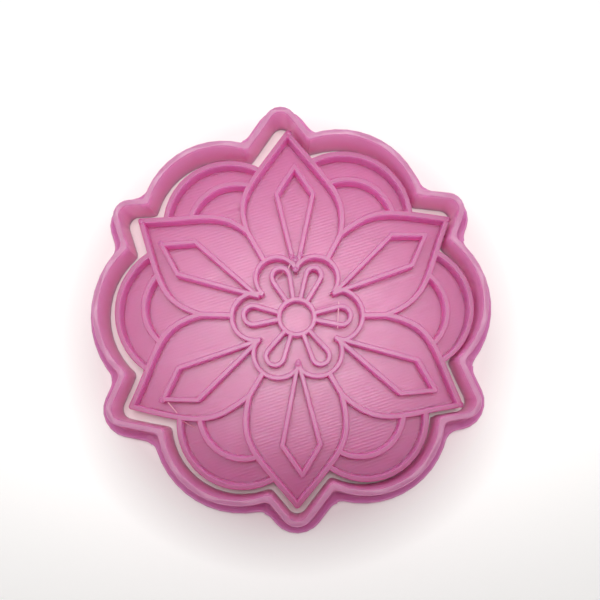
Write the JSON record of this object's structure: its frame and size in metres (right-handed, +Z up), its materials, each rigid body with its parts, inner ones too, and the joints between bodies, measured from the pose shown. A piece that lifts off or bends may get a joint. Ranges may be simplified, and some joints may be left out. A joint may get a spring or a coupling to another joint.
{
  "type": "cookie cutter and stamp set",
  "caption": "Rosette biscuit cutter with a thin blade on a wide foot, and the flat stamp that lies loose inside it, whose raised ribs press a flower pattern into the dough.",
  "frame": {"origin": "on the surface that both pieces lie on, under the middle of the cutter's outline", "axes": "+Z up, towards the cutting edge and the stamp's ribs; +Y along the petal that is furthest from the viewer; +X to the viewer's right"},
  "size_m": [0.0624, 0.0664, 0.008],
  "materials": {
    "cutter_plastic": "pink printed PLA, satin, with fine layer lines on its walls",
    "stamp_plastic": "pink printed PLA, satin, with fine slanting fill lines on its plate and glossy rib tops"
  },
  "bodies": {
    "cutter": {"cutter": "cutter_plastic"},
    "stamp": {"stamp": "stamp_plastic"}
  },
  "joints": [
    {"name": "stamp_lift", "type": "slide", "parent": "cutter", "child": "stamp", "axis": [0, 0, 1], "range_m": [0, 0.012]}
  ]
}
